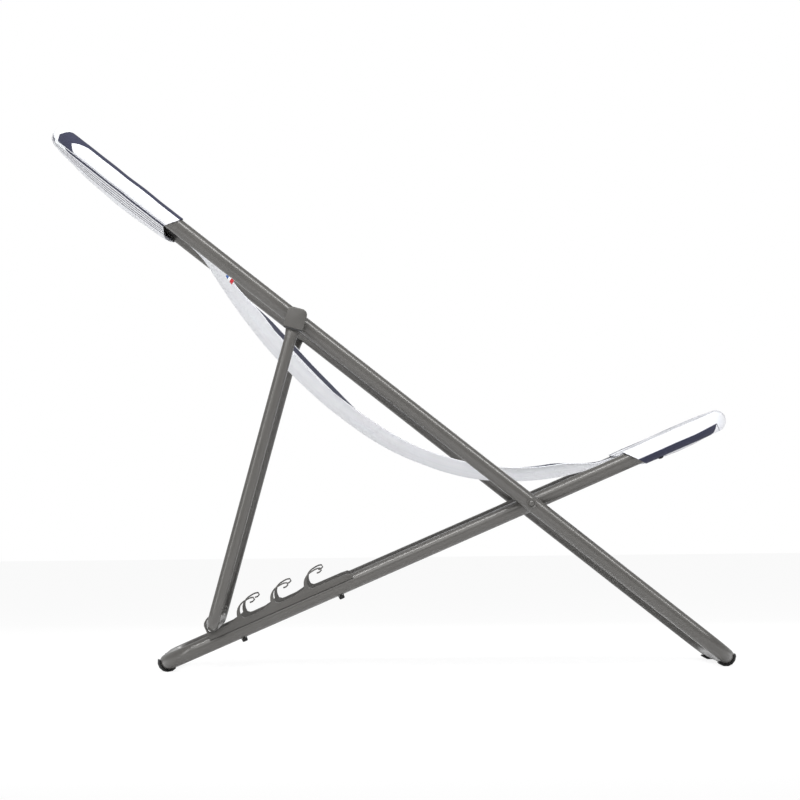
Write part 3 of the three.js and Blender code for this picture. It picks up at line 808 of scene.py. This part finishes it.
def sling_line():
    """The sling's middle as evenly spaced points, from the head pocket to the front pocket."""
    rough = [bezier(lead, k / 24) for k in range(24)]
    rough += [bezier(hang, k / 120) for k in range(121)]
    rough.append(tuck)
    total = sum((b - a).length for a, b in zip(rough, rough[1:]))
    step = total / sling_rows
    line = [rough[0].copy()]
    left = step
    for a, b in zip(rough, rough[1:]):
        length = (b - a).length
        walked = 0
        while length - walked >= left - 1e-9 and len(line) < sling_rows:
            walked += left
            line.append(a + (b - a) * (walked / length))
            left = step
        left -= length - walked
    line.append(rough[-1].copy())
    return line, total


middle_line, sling_length = sling_line()


def smooth(x):
    """Eases from 0 at 0 to 1 at 1."""
    x = min(1, max(0, x))
    return x * x * (3 - 2 * x)


def sling_shape(u, v):
    at = v * sling_rows
    k = min(sling_rows - 1, int(at))
    place = middle_line[k].lerp(middle_line[k + 1], at - k)
    before = middle_line[max(0, k - 2)]
    after = middle_line[min(sling_rows, k + 3)]
    along = (after - before).normalized()
    up = Vector((-along.z, 0, along.x))
    half = sling_half + top_spread * (1 - smooth(v / 0.16)) ** 1.3
    y = (u - 0.5) * 2 * half
    edge = y / half
    rise = 0.020 + 0.010 * smooth((v - 0.14) / 0.1) - 0.008 * smooth((v - 0.3) / 0.3)
    rise *= smooth(v / 0.10)
    rise *= 1 - 0.9 * smooth((v - 0.86) / 0.11)
    twist = 0.0015 + 0.0060 * smooth((v - 0.12) / 0.18) * (1 - smooth((v - 0.38) / 0.14))
    lift = rise * edge * edge + twist * edge
    lift += 0.0012 * noise.noise(Vector((v * 9, y * 7, 1.5))) * smooth(v / 0.08) * smooth((1 - v) / 0.08)
    place = place + up * lift
    place.y = y
    return place, cloth_half - 0.007 - (half - abs(y))


sling = cloth_grid("sling_cloth", 64, sling_rows, sling_shape)
thicken(sling, cloth_reverse, cloth)
bpy.ops.object.mode_set(mode="EDIT")
bpy.ops.mesh.select_all(action="SELECT")
bpy.ops.mesh.normals_make_consistent(inside=False)
bpy.ops.object.mode_set(mode="OBJECT")
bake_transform(sling)
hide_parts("sling")


# ---- Woven tag ----
# A small folded ribbon sewn into the sling's near hem a little below the head pocket, woven in
# three plain bars.
tag_finish, tag_nodes, tag_links = new_finish("woven_tag_bars", (0.10, 0.18, 0.40), 0.7)
tag_place = tag_nodes.new("ShaderNodeTexCoord")
tag_ramp = tag_nodes.new("ShaderNodeValToRGB")
tag_ramp.color_ramp.interpolation = "CONSTANT"
tag_ramp.color_ramp.elements[0].color = (0.50, 0.02, 0.03, 1)
tag_ramp.color_ramp.elements[1].position = 0.36
tag_ramp.color_ramp.elements[1].color = (0.8, 0.8, 0.82, 1)
tag_ramp.color_ramp.elements.new(0.66).color = (0.05, 0.12, 0.35, 1)
tag_split = tag_nodes.new("ShaderNodeSeparateXYZ")
tag_links.new(tag_place.outputs["UV"], tag_split.inputs["Vector"])
tag_links.new(tag_split.outputs["Y"], tag_ramp.inputs["Fac"])
tag_links.new(tag_ramp.outputs["Color"], tag_nodes["Principled BSDF"].inputs["Base Color"])
bpy.ops.mesh.primitive_grid_add(x_subdivisions=8, y_subdivisions=12, size=1, calc_uvs=True)
tag = bpy.context.object
tag.name = "side_tag_ribbon"
tag_place_down = 0.133  # as a share of the sling's length
tag_share = 0.018       # how much of that length it takes
for vertex in tag.data.vertices:
    across = vertex.co.x
    down = vertex.co.y + 0.5
    hem, _ = sling_shape(0.0, tag_place_down + tag_share * (1 - down))
    fold = -0.0012 - 0.0012 * math.sin(math.pi * (across + 0.5))
    vertex.co = hem + Vector((0.004 * across, fold, 0.006 * across))
tag.data.materials.append(tag_finish)
tag_solid = tag.modifiers.new("thickness", "SOLIDIFY")
tag_solid.thickness = 0.0006
bpy.ops.object.modifier_apply(modifier=tag_solid.name)
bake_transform(tag)
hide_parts("side_tag")
